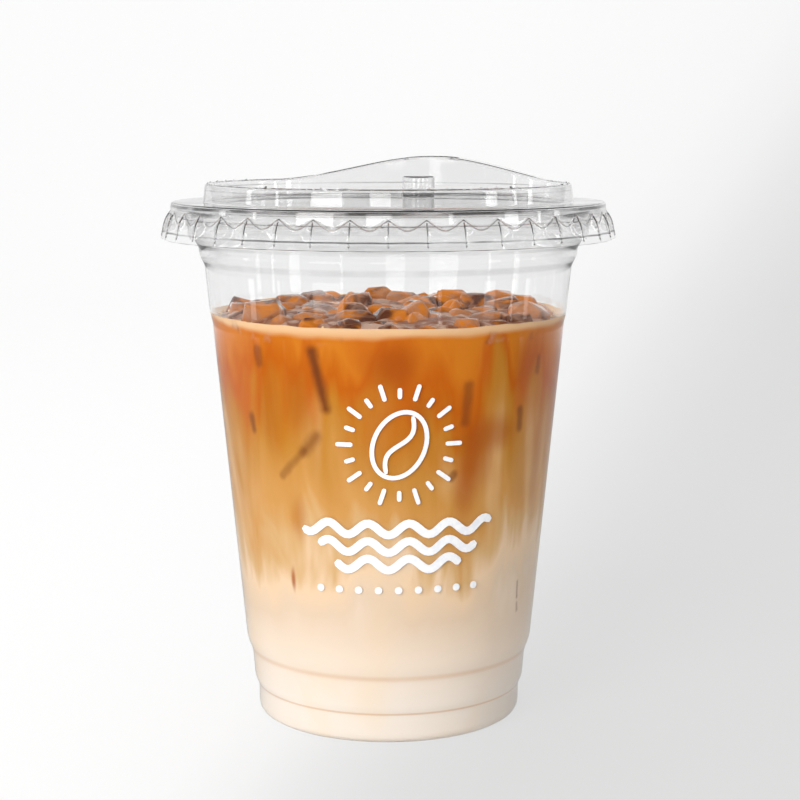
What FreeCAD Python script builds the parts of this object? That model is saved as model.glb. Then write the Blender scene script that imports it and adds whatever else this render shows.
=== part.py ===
import FreeCAD, Part
import math
import os
import random

# Iced latte in a clear 16 oz cup with a press-on sip lid.
# Millimetres. The origin is the middle of the foot, +Z is up and -Y is the printed front.

V = FreeCAD.Vector
UP = V(0, 0, 1)

# ---- cup: thermoformed from clear sheet ----
cup_height = 119.5          # foot to the top of the rolled rim
rim_radius = 49.0           # 98 mm over the rolled rim
rim_roll = 1.5              # radius of the roll's section
foot_side_radius = 30.9     # where the side starts, above the foot's corner
cup_wall = 0.5
corner_reach = 0.28         # share of the shorter run that each corner's arc takes
corner_run_limit = 3.5      # longest run that counts for that

foot_round = 2.1            # corner between the foot and the side
foot_land = 4.0             # width of the flat ring that touches the table
punt_height = 3.0           # how far the middle of the base is pushed up
punt_slope = 2.4            # run of the sloping side of the pushed-up base
punt_wall_share = 0.6       # share of the wall that the slope's inside stands further in

# stacking steps at the bottom: how far out from the side's start, and how high
lower_step = ((0.1, 6.3), (1.0, 8.3))
upper_step = ((1.5, 14.6), (2.75, 17.8))
# fill step, neck and collar at the top: how far in from the rim, and how far down from its top
fill_step = ((8.1, 26.7), (7.55, 24.7))
neck_end = (6.5, 13.7)
collar = ((5.3, 11.6), (5.1, 9.3))
mouth = (3.6, 7.7)
mouth_flare = 0.5           # how much the wall widens from there to the roll
# the web that runs the wall into the roll, in shares of the roll's radius
web_below = 0.55
web_above = 0.75
web_shoulder = (0.4, 0.65)

# ---- lid: thermoformed from clear sheet ----
lid_wall = 0.45
lid_seat_gap = 0.3          # between the rolled rim and the underside of the brim
lid_rim_gap = 0.55          # between the rolled rim and the inside of the brim's wall
brim_round = 0.6
brim_wall_draft = 0.1       # how much the brim's wall widens below its rounding
skirt_depth = 8.15          # from the brim's flat top to the bottom edge of the skirt
skirt_draft = 0.45          # how much the plain wall widens before the pleats take over
skirt_flare = 1.9           # how far the plain wall would stand out at the bottom edge
skirt_plain_share = 0.6     # share of the skirt's depth that the plain wall shows in
pleat_count = 40
# the pleats from the top down: depth below the brim's top, then how far the
# ridges and the middles of the hollow panels stand out from the plain wall
pleat_rows = ((1.95, -0.45, -1.55), (4.05, 1.05, -0.10), (6.05, 1.50, 0.75), (8.15, 2.00, 1.83))
deck_width = 7.4            # flat of the brim, out to in, up to the raised ring
drum_height = 4.1           # raised ring, above the brim's flat top
drum_draft = 0.4
drum_land = 1.5             # width of the ring's top where there is no spout
drum_inner_slope = 0.5
drum_lip = 0.45             # bevel along both edges of the ring's top, across
drum_lip_drop = 0.6         # and down
drum_lip_lean = 0.1         # share of the inner slope's run that its bevel takes
drum_overlap = 0.4          # how far the ring runs into the sunken middle
ring_root = 2.0             # reach of the ring and the boss below the sunken middle before hollowing
floor_drop = 0.5            # sunken middle, below the brim's flat top
spout_rise = 5.4            # extra height of the spout's crest
spout_half_angle = 58.0     # degrees either side of the spout's middle
spout_land = 6.4            # width of the spout's top where the sip hole is
spout_slope = 3.9           # run of the slope from the spout's top to the sunken middle
spout_heading = 16.5        # degrees from +Y towards +X
spout_sections = 13
sip_length = 14.0
sip_margin = 1.1            # flat left between the sip hole and the outer edge of the spout's top
sip_inner_margin = 0.1      # and its inner edge
cut_margin = 2.0            # how far a cut runs past what it cuts
peg_radius = 3.9            # round boss in front of the spout
peg_height = 5.4            # above the sunken middle
peg_round = 0.6
peg_gap = 1.6               # between the boss and the foot of the spout's slope

# ---- drink ----
liquid_fit = 0.05           # between the drink and the inside of the cup
fill_gap = 0.9              # level of the drink below the top of the fill step
foam_depth = 2.5
foam_meniscus = 1.0         # how far the foam climbs at the wall
foam_meniscus_run = 2.0
milk_share = 0.43           # of the filled height that is still milk
milk_wave = 4.0             # how far the tongues of coffee reach above and below that
milk_tongues = 7
milk_tongue_share = 0.7     # of the wave; a drift to one side makes up the rest
milk_drift_turn = 0.6       # radians
milk_grid = 17              # points each way that the surface runs through

# ---- ice: chunks that float and break the surface ----
ice_seed = 14
ice_rings = 2               # round the one in the middle; each ring holds six more than the last
ice_size = 13.6
ice_size_spread = 1.5
ice_height = 16.5
ice_proud = 4.3             # how far a chunk stands above the drink
ice_proud_spread = 1.6
ice_corner = 0.30           # share of the half-size melted off each edge
ice_melt = (0.55, 1.25)     # how unevenly, least and most
ice_corner_melt = 1.9       # how much more a corner loses than an edge
ice_skew = 0.22             # how far the melted faces lean
ice_uneven = 0.06           # share by which a chunk's width and depth differ
ice_tilt = 14.0             # degrees
ice_gap = 0.3               # least room between two chunks
ice_wall_gap = 0.6          # least room between a chunk and the cup

# ---- worked out from the sizes above ----
lid_top = cup_height + lid_seat_gap + lid_wall
skirt_lip = lid_top - skirt_depth
brim_radius = rim_radius + lid_rim_gap + lid_wall
drum_radius = brim_radius - deck_width
floor_top = lid_top - floor_drop
spout_inner = drum_radius - 2 * drum_draft - spout_land
sip_width = spout_land - sip_margin - sip_inner_margin
sip_distance = drum_radius - 2 * drum_draft - sip_margin - sip_width / 2
peg_distance = spout_inner - spout_slope - peg_gap - peg_radius
liquid_level = cup_height - fill_step[1][1] - fill_gap
coffee_level = liquid_level - foam_depth
milk_level = milk_share * liquid_level


def at(radius, z):
    """A point of an outline in the XZ plane."""
    return V(radius, 0, z)


def wire(points):
    """A closed outline through the points."""
    return Part.makePolygon(list(points) + [points[0]])


def revolved(outline, angle=360.0):
    """The solid swept by an outline turned about +Z."""
    face = Part.Face(outline)
    turned = face.revolve(V(0, 0, 0), UP, angle)
    return turned if isinstance(turned, Part.Solid) else Part.Solid(turned)


def side_of_cup(inset):
    """Corners of the cup's side, from the foot to the roll of the rim, moved in by an inset."""
    low = [at(foot_side_radius + out - inset, z) for out, z in lower_step + upper_step]
    high = [at(rim_radius - back - inset, cup_height - down)
            for back, down in fill_step + (neck_end,) + collar + (mouth,)]
    start = at(foot_side_radius - inset, foot_round)
    end = at(rim_radius - mouth[0] + mouth_flare - inset, cup_height - rim_roll)
    return [start] + low + high + [end]


def smoothed_side(inset):
    """The side as edges: straight runs with a small arc at each change of slope."""
    points = side_of_cup(inset)
    edges = []
    here = points[0]
    for before, corner, after in zip(points, points[1:], points[2:]):
        into = (corner - before).normalize()
        away = (after - corner).normalize()
        reach = corner_reach * min((corner - before).Length, (after - corner).Length, corner_run_limit)
        enter = corner - into * reach
        leave = corner + away * reach
        edges.append(Part.makeLine(here, enter))
        edges.append(Part.Arc(enter, middle_of_arc(enter, corner, leave), leave).toShape())
        here = leave
    edges.append(Part.makeLine(here, points[-1]))
    return edges, points[0], points[-1]


def middle_of_arc(enter, corner, leave):
    """The point half way along the arc that is tangent to both runs at a corner."""
    chord = (enter + leave) * 0.5
    to_corner = corner - chord
    half = (leave - enter).Length / 2
    rise = to_corner.Length
    radius = math.hypot(half, rise) * half / rise
    sagitta = radius - math.sqrt(radius * radius - half * half)
    return chord + to_corner.normalize() * sagitta


def base_edges(inset, side_start):
    """The base from the side's start to the axis, one inset in: corner, flat ring, slope and flat."""
    radius = foot_round - inset
    foot_radius = side_start.x - radius
    slant = radius * math.sqrt(0.5)
    centre = at(foot_radius, side_start.z)
    corner = Part.Arc(side_start, centre + at(slant, -slant), centre + at(0, -radius)).toShape()
    ring_in = at(foot_side_radius - foot_round - foot_land - punt_wall_share * inset, inset)
    punt = ring_in + at(-punt_slope, punt_height)
    middle = at(0, punt.z)
    return [
        corner,
        Part.makeLine(centre + at(0, -radius), ring_in),
        Part.makeLine(ring_in, punt),
        Part.makeLine(punt, middle),
    ], middle


def make_cup():
    outer_side, low_out, top_out = smoothed_side(0.0)
    inner_side, low_in, top_in = smoothed_side(cup_wall)
    under, middle_out = base_edges(0.0, low_out)
    upper, middle_in = base_edges(cup_wall, low_in)
    ends = [Part.makeLine(top_out, top_in), Part.makeLine(middle_out, middle_in)]
    edges = under + outer_side + inner_side + upper + ends
    shell = revolved(Part.Wire(Part.__sortEdges__(edges)))

    # the rim is rolled outwards: a ring of round section, run into the top of the wall
    roll_radius = rim_radius - rim_roll
    roll = Part.makeTorus(roll_radius, rim_roll, V(0, 0, top_out.z))
    shoulder = revolved(wire([
        top_in - at(0, web_below * rim_roll),
        at(roll_radius, top_in.z - web_below * rim_roll),
        at(roll_radius, top_in.z + web_above * rim_roll),
        top_in + at(web_shoulder[0] * rim_roll, web_shoulder[1] * rim_roll),
        top_in,
    ]))
    return shell.fuse([roll, shoulder]).removeSplitter().Solids[0]


def spout_bump(angle):
    """1 at the spout's middle, falling smoothly to 0 at its ends; the angle is in degrees from its middle."""
    if abs(angle) >= spout_half_angle:
        return 0.0
    return math.cos(math.radians(90.0 * angle / spout_half_angle)) ** 2


def ring_section(angle, inset, depth):
    """Section of the raised ring in the plane at an angle from the spout's middle, down to a depth."""
    bump = spout_bump(angle)
    crest = lid_top + drum_height + spout_rise * bump - inset
    outside = drum_radius - inset
    crest_out = outside - drum_draft * (1 + bump)
    crest_in = crest_out - (drum_land + (spout_land - drum_land) * bump - 2 * inset)
    slope = drum_inner_slope + (spout_slope - drum_inner_slope) * bump
    floor = floor_top - inset
    foot_run = slope * (floor - depth) / (crest - floor)
    outline = wire([
        at(outside + 0.5 * drum_draft, depth),
        at(outside, lid_top - inset),
        at(crest_out, crest - drum_lip_drop),
        at(crest_out - drum_lip, crest),
        at(crest_in + drum_lip, crest),
        at(crest_in - drum_lip_lean * slope, crest - drum_lip_drop),
        at(crest_in - slope - foot_run, depth),
    ])
    outline.rotate(V(0, 0, 0), UP, 90.0 - spout_heading - angle)
    return outline


def raised_ring(inset, depth):
    """The ring with its spout, as a solid from its crest down to a depth."""
    step = 2 * spout_half_angle / (spout_sections - 1)
    angles = [-spout_half_angle + step * k for k in range(spout_sections)]
    spout = Part.makeLoft([ring_section(a, inset, depth) for a in angles], True, False)
    plain = Part.Face(ring_section(-spout_half_angle, inset, depth))
    rest = plain.revolve(V(0, 0, 0), UP, 360.0 - 2 * spout_half_angle)
    rest = rest if isinstance(rest, Part.Solid) else Part.Solid(rest)
    return rest.fuse(spout)


def pleat_section(z, ridge, valley):
    """Outline of the skirt at one height: sharp ridges with hollow panels between them."""
    pitch = 2 * math.pi / pleat_count
    edges = []
    for k in range(pleat_count):
        a, m, b = k * pitch, (k + 0.5) * pitch, (k + 1) * pitch
        edges.append(Part.Arc(
            V(ridge * math.cos(a), ridge * math.sin(a), z),
            V(valley * math.cos(m), valley * math.sin(m), z),
            V(ridge * math.cos(b), ridge * math.sin(b), z)).toShape())
    return Part.Wire(edges)


def skirt_form(inset, low):
    """Outside of the skirt as a solid: a plain brim wall with pleats that grow out of it downwards."""
    plain_radius = brim_radius + skirt_draft
    brim_bulge = brim_round / 4
    wall = revolved(wire([
        at(0, low),
        at(brim_radius + skirt_flare - inset, low),
        at(plain_radius - inset, lid_top - skirt_plain_share * skirt_depth),
        at(brim_radius + brim_wall_draft - inset, lid_top - brim_round - inset),
        at(brim_radius - brim_bulge - inset, lid_top - brim_bulge - inset),
        at(brim_radius - brim_round - inset, lid_top - inset),
        at(0, lid_top - inset),
    ]))
    rows = [(lid_top - down, plain_radius + ridge - inset, plain_radius + valley - inset)
            for down, ridge, valley in pleat_rows]
    rows[-1] = (low,) + rows[-1][1:]
    pleats = [Part.makeLoft([pleat_section(*upper), pleat_section(*lower)], True, True)
              for upper, lower in zip(rows, rows[1:])]
    return wall.fuse(pleats)


def peg_form(inset, low):
    """The round boss in front of the spout, with a rounded top."""
    top = floor_top + peg_height - inset
    boss = Part.makeCylinder(peg_radius - inset, top - low, V(0, 0, low))
    rim = [e for e in boss.Edges if e.BoundBox.ZMin > top - 1e-3]
    boss = boss.makeFillet(peg_round, rim)
    boss.translate(heading_point(peg_distance))
    return boss


def heading_point(distance, z=0.0):
    """A point at a distance from the axis, in the direction of the spout."""
    turn = math.radians(spout_heading)
    return V(distance * math.sin(turn), distance * math.cos(turn), z)


def sip_hole():
    """A slot with round ends, straight down through the spout's top."""
    half = (sip_length - sip_width) / 2
    low = lid_top + drum_height
    deep = spout_rise + cut_margin
    ends = [Part.makeCylinder(sip_width / 2, deep, V(x, 0, low)) for x in (-half, half)]
    middle = Part.makeBox(2 * half, sip_width, deep, V(-half, -sip_width / 2, low))
    slot = middle.fuse(ends).removeSplitter()
    slot.rotate(V(0, 0, 0), UP, -spout_heading)
    slot.translate(heading_point(sip_distance))
    return slot


def lid_form(inset, low):
    """The lid's outside, or its inside one wall further in, as a solid."""
    floor = floor_top - inset
    root = floor - ring_root
    bowl = Part.makeCylinder(drum_radius - 2 * drum_draft - drum_overlap, drum_height, V(0, 0, floor))
    return skirt_form(inset, low).cut(bowl).fuse([raised_ring(inset, root), peg_form(inset, root)])


def make_lid():
    outer = lid_form(0.0, skirt_lip)
    inner = lid_form(lid_wall, skirt_lip - cut_margin)
    return outer.cut(inner).cut(sip_hole()).removeSplitter()


def drink_form():
    """Everything inside the cup up to the drink's level, as one solid, with its edge drawn up the wall."""
    side, low, top = smoothed_side(cup_wall + liquid_fit)
    base, middle = base_edges(cup_wall + liquid_fit, low)
    lid_line = Part.makePolygon([top, at(0, top.z), middle])
    inside = revolved(Part.Wire(Part.__sortEdges__(base + side + lid_line.Edges)))
    wall = rim_radius - fill_step[1][0] - cup_wall
    climb = liquid_level + foam_meniscus
    air = revolved(wire([
        at(0, liquid_level),
        at(wall - foam_meniscus_run, liquid_level),
        at(wall, climb),
        at(rim_radius, climb),
        at(rim_radius, cup_height),
        at(0, cup_height),
    ]))
    return inside.cut(air)


def milk_surface():
    """The uneven level where tongues of coffee reach down into the milk."""
    reach = rim_radius
    last = milk_grid - 1
    rows = []
    for i in range(milk_grid):
        row = []
        for j in range(milk_grid):
            x = reach * (2 * i / last - 1)
            y = reach * (2 * j / last - 1)
            radius = math.hypot(x, y)
            angle = math.atan2(y, x)
            tongue = math.cos(milk_tongues * angle) * (radius / reach) ** 2
            drift = math.sin(angle + milk_drift_turn) * radius / reach
            wave = milk_tongue_share * tongue + (1 - milk_tongue_share) * drift
            row.append(V(x, y, milk_level + milk_wave * wave))
        rows.append(row)
    surface = Part.BSplineSurface()
    surface.interpolate(rows)
    return surface.toShape()


def make_chunk(rng, size, height):
    """An ice chunk: a block whose edges and corners have melted off unevenly."""
    width = size * rng.uniform(1 - ice_uneven, 1 + ice_uneven)
    depth = size * rng.uniform(1 - ice_uneven, 1 + ice_uneven)
    half = [width / 2, depth / 2, height / 2]
    slab_size = 4 * size
    chunk = Part.makeBox(2 * half[0], 2 * half[1], 2 * half[2], V(-half[0], -half[1], -half[2]))
    signs = (-1, 0, 1)
    cuts = [(a, b, c) for a in signs for b in signs for c in signs if abs(a) + abs(b) + abs(c) > 1]
    for cut in cuts:
        corner = V(cut[0] * half[0], cut[1] * half[1], cut[2] * half[2])
        melted = ice_corner * half[0] * rng.uniform(*ice_melt) * (1 if 0 in cut else ice_corner_melt)
        normal = V(*[c + rng.uniform(-ice_skew, ice_skew) for c in cut]).normalize()
        slab = Part.makeBox(slab_size, slab_size, slab_size, V(-slab_size / 2, -slab_size / 2, 0))
        slab.Placement = FreeCAD.Placement(corner - normal * melted, FreeCAD.Rotation(UP, normal))
        chunk = chunk.cut(slab)
    return chunk


def ice_reach():
    """Furthest that a chunk may come from the axis: the cup's inside at the chunks' lowest."""
    low = at(foot_side_radius + upper_step[1][0], upper_step[1][1])
    high = at(rim_radius - fill_step[0][0], cup_height - fill_step[0][1])
    depth = liquid_level + ice_proud - ice_height - ice_size_spread
    taper = (high.x - low.x) / (high.z - low.z)
    return low.x + taper * (depth - low.z) - cup_wall - ice_wall_gap


def ice_cell(ring, k):
    """The room that one chunk has: its share of a ring, clear of its neighbours."""
    step = (ice_reach() - ice_size / 2) / ice_rings
    outer = ice_reach() if ring == ice_rings else (ring + 0.5) * step - ice_gap / 2
    cell = Part.makeCylinder(outer, cup_height)
    if ring == 0:
        return cell
    cell = cell.cut(Part.makeCylinder((ring - 0.5) * step + ice_gap / 2, cup_height))
    half_pitch = 180.0 / (6 * ring)
    size = 2 * rim_radius
    for side in (-1, 1):
        beyond = Part.makeBox(size, size, cup_height, V(0, -size if side < 0 else 0, 0))
        beyond.translate(V(0, -side * ice_gap / 2, 0))
        beyond.rotate(V(0, 0, 0), UP, (2 * k + side) * half_pitch)
        cell = cell.cut(beyond)
    return cell


def make_ice():
    """All the chunks: one in the middle and rings round it."""
    rng = random.Random(ice_seed)
    step = (ice_reach() - ice_size / 2) / ice_rings
    chunks = []
    for ring in range(ice_rings + 1):
        count = 6 * ring if ring else 1
        for k in range(count):
            size = ice_size + rng.uniform(-ice_size_spread, ice_size_spread)
            chunk = make_chunk(rng, size, ice_height + rng.uniform(-ice_size_spread, ice_size_spread))
            chunk.rotate(V(0, 0, 0), V(1, 0, 0), rng.uniform(-ice_tilt, ice_tilt))
            chunk.rotate(V(0, 0, 0), V(0, 1, 0), rng.uniform(-ice_tilt, ice_tilt))
            chunk.rotate(V(0, 0, 0), UP, 360.0 * k / count + rng.uniform(-ice_tilt, ice_tilt))
            turn = 2 * math.pi * k / count
            top = liquid_level + ice_proud + rng.uniform(-ice_proud_spread, ice_proud_spread)
            chunk.translate(V(ring * step * math.cos(turn), ring * step * math.sin(turn),
                              top - chunk.BoundBox.ZMax))
            chunks.append(chunk.common(ice_cell(ring, k)).Solids[0])
    return chunks


def main():
    os.makedirs("parts", exist_ok=True)
    ice = make_ice()
    drink = drink_form().cut(ice)
    below = Part.makeCylinder(rim_radius, coffee_level)
    milk_room = milk_surface().extrude(V(0, 0, -2 * milk_level))
    coffee_and_milk = drink.common(below)
    made = {
        "cup": make_cup(),
        "lid": make_lid(),
        "milk": coffee_and_milk.common(milk_room),
        "coffee": coffee_and_milk.cut(milk_room),
        "foam": drink.cut(below),
    }
    for k, chunk in enumerate(ice):
        made["ice_%02d" % (k + 1)] = chunk
    for name, shape in made.items():
        print(name, shape.ShapeType, len(shape.Solids), shape.isValid(), round(shape.Volume, 1), shape.BoundBox)
        shape.exportStep("parts/%s.step" % name)


main()
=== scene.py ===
import random
from math import cos, degrees, exp, hypot, pi, radians, sin

import bmesh
import bpy
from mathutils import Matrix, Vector, noise


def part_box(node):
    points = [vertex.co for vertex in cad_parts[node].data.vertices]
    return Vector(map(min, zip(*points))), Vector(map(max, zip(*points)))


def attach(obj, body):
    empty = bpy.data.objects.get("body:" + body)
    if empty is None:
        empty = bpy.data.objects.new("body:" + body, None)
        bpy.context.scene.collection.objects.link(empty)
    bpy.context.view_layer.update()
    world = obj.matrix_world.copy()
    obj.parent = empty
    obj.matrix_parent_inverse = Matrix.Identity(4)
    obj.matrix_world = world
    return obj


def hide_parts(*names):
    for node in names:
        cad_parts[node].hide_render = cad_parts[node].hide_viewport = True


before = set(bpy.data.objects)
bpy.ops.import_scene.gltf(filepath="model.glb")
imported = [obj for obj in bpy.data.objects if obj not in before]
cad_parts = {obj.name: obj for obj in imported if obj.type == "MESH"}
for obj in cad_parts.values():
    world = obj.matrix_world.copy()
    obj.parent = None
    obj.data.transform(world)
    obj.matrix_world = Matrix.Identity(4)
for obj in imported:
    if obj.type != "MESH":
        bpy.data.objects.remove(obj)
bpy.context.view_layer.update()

# sizes are in millimetres from here on; the cup's rim and the foam's underside come from the CAD's pieces
mm = 0.001
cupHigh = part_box("cup")[1]
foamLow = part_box("foam")[0]
rimRadius = cupHigh[0] / mm
cupHeight = cupHigh[2] / mm
sharpEdge = radians(34)        # edges that turn more than this stay crisp


class Sock:
    # wraps one socket of a node tree, so that shader maths reads as plain expressions
    def __init__(self, tree, socket=None):
        self.tree = tree
        self.socket = socket

    def node(self, kind, settings=None, values=None, out=0):
        made = self.tree.nodes.new(kind)
        for key, value in (settings or {}).items():
            if key == "stops":
                fillRamp(made.color_ramp, value)
            else:
                setattr(made, key, value)
        for key, value in (values or {}).items():
            self.feed(made, key, value)
        return Sock(self.tree, made.outputs[out])

    def feed(self, made, key, value):
        if isinstance(value, Sock):
            self.tree.links.new(value.socket, made.inputs[key])
        else:
            made.inputs[key].default_value = value

    def other(self, name):
        # another output of the same node
        return Sock(self.tree, self.socket.node.outputs[name])

    def math(self, operation, *values, clamp=False):
        settings = {"operation": operation, "use_clamp": clamp}
        return self.node("ShaderNodeMath", settings, dict(enumerate(values)))

    def __add__(self, other):
        return self.math("ADD", self, other)

    def __radd__(self, other):
        return self.math("ADD", other, self)

    def __sub__(self, other):
        return self.math("SUBTRACT", self, other)

    def __rsub__(self, other):
        return self.math("SUBTRACT", other, self)

    def __mul__(self, other):
        return self.math("MULTIPLY", self, other)

    def __rmul__(self, other):
        return self.math("MULTIPLY", other, self)

    def __truediv__(self, other):
        return self.math("DIVIDE", self, other)

    def __rtruediv__(self, other):
        return self.math("DIVIDE", other, self)

    def __neg__(self):
        return self.math("MULTIPLY", self, -1.0)

    def smooth(self, low, high):
        # 0 at low, 1 at high, eased between; low may be the larger
        values = {"Value": self, "From Min": low, "From Max": high}
        return self.node("ShaderNodeMapRange", {"interpolation_type": "SMOOTHSTEP"}, values)

    def blend(self, first, second):
        # first where this mask is 0, second where it is 1
        factor, colourA, colourB, result = 0, 6, 7, 2        # the Mix node's sockets when it mixes colours
        mix = {factor: self, colourA: first, colourB: second}
        return self.node("ShaderNodeMix", {"data_type": "RGBA"}, mix, out=result)


def fillRamp(ramp, stops):
    while len(ramp.elements) < len(stops):
        ramp.elements.new(0.5)
    for element, (place, colour) in zip(ramp.elements, stops):
        element.position = place
        element.color = colour


def tone(red, green, blue):
    # a colour as a screen shows it, 0 to 255, turned into the linear values that shaders use
    def linear(c):
        return ((c / 255 + 0.055) / 1.055) ** 2.4 if c > 10 else c / 255 / 12.92
    return linear(red), linear(green), linear(blue), 1.0


def grey(level):
    return tone(level, level, level)


def newMaterial(name):
    material = bpy.data.materials.new(name)
    material.use_nodes = True
    material.node_tree.nodes.clear()
    return material, Sock(material.node_tree)


def closeMaterial(shader, sink):
    output = sink.tree.nodes.new("ShaderNodeOutputMaterial")
    sink.tree.links.new(shader.socket, output.inputs["Surface"])


def meshPiece(name, points, faces, material, smooth=True):
    # a finished object from points in millimetres
    mesh = bpy.data.meshes.new(name)
    mesh.from_pydata([(x * mm, y * mm, z * mm) for x, y, z in points], [], faces)
    return tidyPiece(name, mesh, material, smooth)


def tidyPiece(name, mesh, material, smooth=True):
    # merges doubles and points the faces outward
    bm = bmesh.new()
    bm.from_mesh(mesh)
    bmesh.ops.remove_doubles(bm, verts=bm.verts, dist=1e-6)
    bmesh.ops.recalc_face_normals(bm, faces=bm.faces)
    for face in bm.faces:
        face.smooth = smooth
    bm.to_mesh(mesh)
    bm.free()
    mesh.materials.clear()
    mesh.materials.append(material)
    piece = bpy.data.objects.new(name, mesh)
    bpy.context.scene.collection.objects.link(piece)
    return piece


def appliedMesh(piece):
    # works the modifiers into the piece's mesh
    graph = bpy.context.evaluated_depsgraph_get()
    mesh = bpy.data.meshes.new_from_object(piece.evaluated_get(graph))
    piece.modifiers.clear()
    piece.data = mesh
    return piece


def arc(middle, radius, angles):
    # points (radius, height) round a middle, at angles in degrees
    return [(middle[0] + radius * cos(radians(a)), middle[1] + radius * sin(radians(a))) for a in angles]


def softPath(corners, steps=4):
    # an outline through corners (radius, height, reach), each rounded over its reach
    mostOfSide = 0.45        # a rounding takes no more of a straight side than this
    lead = 0.12        # share of the reach at which an extra point keeps the straight side straight
    path = [corners[0][:2]]
    for before, corner, after in zip(corners, corners[1:], corners[2:]):
        here = Vector(corner[:2])
        into = Vector(before[:2]) - here
        away = Vector(after[:2]) - here
        reach = min(corner[2], mostOfSide * into.length, mostOfSide * away.length)
        if reach < 1e-4:
            path.append(tuple(here))
            continue
        start = here + into.normalized() * reach
        end = here + away.normalized() * reach
        path.append(tuple(start + into.normalized() * lead * reach))
        for k in range(steps + 1):
            t = k / steps
            path.append(tuple(start * (1 - t) ** 2 + here * 2 * t * (1 - t) + end * t ** 2))
        path.append(tuple(end + away.normalized() * lead * reach))
    path.append(corners[-1][:2])
    return path


def turned(path, segments):
    # points and faces of a path turned about the axis; its ends may lie on the axis
    points, rows = [], []
    for radius, z in path:
        if radius < 1e-6:
            rows.append([len(points)] * segments)
            points.append((0, 0, z))
        else:
            rows.append([len(points) + k for k in range(segments)])
            points += [(radius * sin(2 * pi * k / segments), -radius * cos(2 * pi * k / segments), z)
                       for k in range(segments)]
    return points, joinRows(rows)


def joinRows(rows):
    # faces between closed rows of point numbers, with triangles where points coincide
    faces = []
    for lower, upper in zip(rows, rows[1:]):
        for k in range(len(lower)):
            n = (k + 1) % len(lower)
            corner = [lower[k], lower[n], upper[n], upper[k]]
            face = [v for i, v in enumerate(corner) if v != corner[i - 1]]
            if len(face) > 2:
                faces.append(face)
    return faces


def gathered(parts):
    # several (points, faces) as one
    points, faces = [], []
    for partPoints, partFaces in parts:
        faces += [tuple(len(points) + v for v in face) for face in partFaces]
        points += partPoints
    return points, faces


# the camera stands in front, a little higher than the lid, and looks slightly down
view = dict(distance=437.0, height=138.9, pitchDown=8.5, yawRight=0.354, lens=84.6, sensor=36,
            clip=(0.02, 20))

cameraData = bpy.data.cameras.new("camera")
cameraData.lens = view["lens"]
cameraData.sensor_width = view["sensor"]
cameraData.clip_start, cameraData.clip_end = view["clip"]
camera = bpy.data.objects.new("camera", cameraData)
camera.location = (0, -view["distance"] * mm, view["height"] * mm)
camera.rotation_euler = (radians(90 - view["pitchDown"]), 0, radians(-view["yawRight"]))
bpy.context.scene.collection.objects.link(camera)
bpy.context.scene.camera = camera
bpy.context.scene.view_settings.view_transform = "Standard"
print("camera set")


# what both clear plastics share
clearFilm = dict(ior=1.46, roughness=0.02, ripple=0.09, rippleScale=48.0, toneBlend=0.6,
                 breakScale=75.0, breakNoise=(0.38, 0.58), breakShare=0.65, lineCore=0.35, lineEnd=0.3)
# each one's greys above and below its split, and how strongly it mirrors; painted dark lines where the sheet
# bends, which stand in for the dark room mirrored and bent there, have height, half width, strength, grey,
# and the radius they keep outside; heights count from the cup's rim
cupLook = dict(upper=249, lower=254, split=-24.5, mirror=0.5,
               paintedDarkLines=((-12.8, 1.0, 0.35, 196, 30), (-8.6, 0.7, 0.25, 200, 30)))
lidLook = dict(upper=251, lower=249, split=-0.4, mirror=1.0,
               paintedDarkLines=((0.05, 0.45, 0.9, 60, rimRadius), (-5.8, 0.24, 0.8, 80, rimRadius),
                      (3.5, 0.22, 0.45, 90, rimRadius - 8)))


def clearPlastic(name, look):
    material, s = newMaterial(name)
    place = s.node("ShaderNodeTexCoord", out="Object")
    x = s.node("ShaderNodeSeparateXYZ", {}, {"Vector": place})
    y = x.other("Y")
    height = x.other("Z") / mm
    radius = s.math("SQRT", x * x + y * y) / mm
    split, soft = cupHeight + look["split"], clearFilm["toneBlend"]
    body = height.smooth(split - soft, split + soft).blend(grey(look["lower"]), grey(look["upper"]))
    broken = s.node("ShaderNodeTexNoise", {}, {
        "Vector": place, "Scale": clearFilm["breakScale"], "Detail": 3.0}).smooth(*clearFilm["breakNoise"])
    # painted shade and reflection: dark rings where the sheet bends, standing in for the dark room seen
    # mirrored and bent there, broken up by noise
    for rise, half, strength, shade, inner in look["paintedDarkLines"]:
        ring = s.math("ABSOLUTE", height - (cupHeight + rise)).smooth(half, half * clearFilm["lineCore"])
        line = ring * radius.smooth(inner, inner + clearFilm["lineEnd"])
        line = line * (broken * clearFilm["breakShare"] + (1 - clearFilm["breakShare"])) * strength
        body = line.blend(body, grey(shade))
    ripple = s.node("ShaderNodeTexNoise", {}, {
        "Vector": place, "Scale": clearFilm["rippleScale"], "Detail": 2.0})
    bump = s.node("ShaderNodeBump", {}, {"Height": ripple, "Strength": clearFilm["ripple"], "Distance": mm})
    film = s.node("ShaderNodeBsdfPrincipled", {}, {
        "Base Color": body, "Roughness": clearFilm["roughness"], "IOR": clearFilm["ior"],
        "Transmission Weight": 1.0, "Specular Tint": (look["mirror"],) * 3 + (1.0,), "Normal": bump})
    # light falls straight through, so that the sheet doesn't darken what is inside it
    nothing = s.node("ShaderNodeBsdfTransparent")
    rays = s.node("ShaderNodeLightPath", out="Is Shadow Ray")
    passing = s.math("MAXIMUM", rays, rays.other("Is Diffuse Ray"))
    closeMaterial(s.node("ShaderNodeMixShader", {}, {0: passing, 1: film, 2: nothing}), s)
    return material


cupPlastic = clearPlastic("cupPlastic", cupLook)
lidPlastic = clearPlastic("lidPlastic", lidLook)


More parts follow.
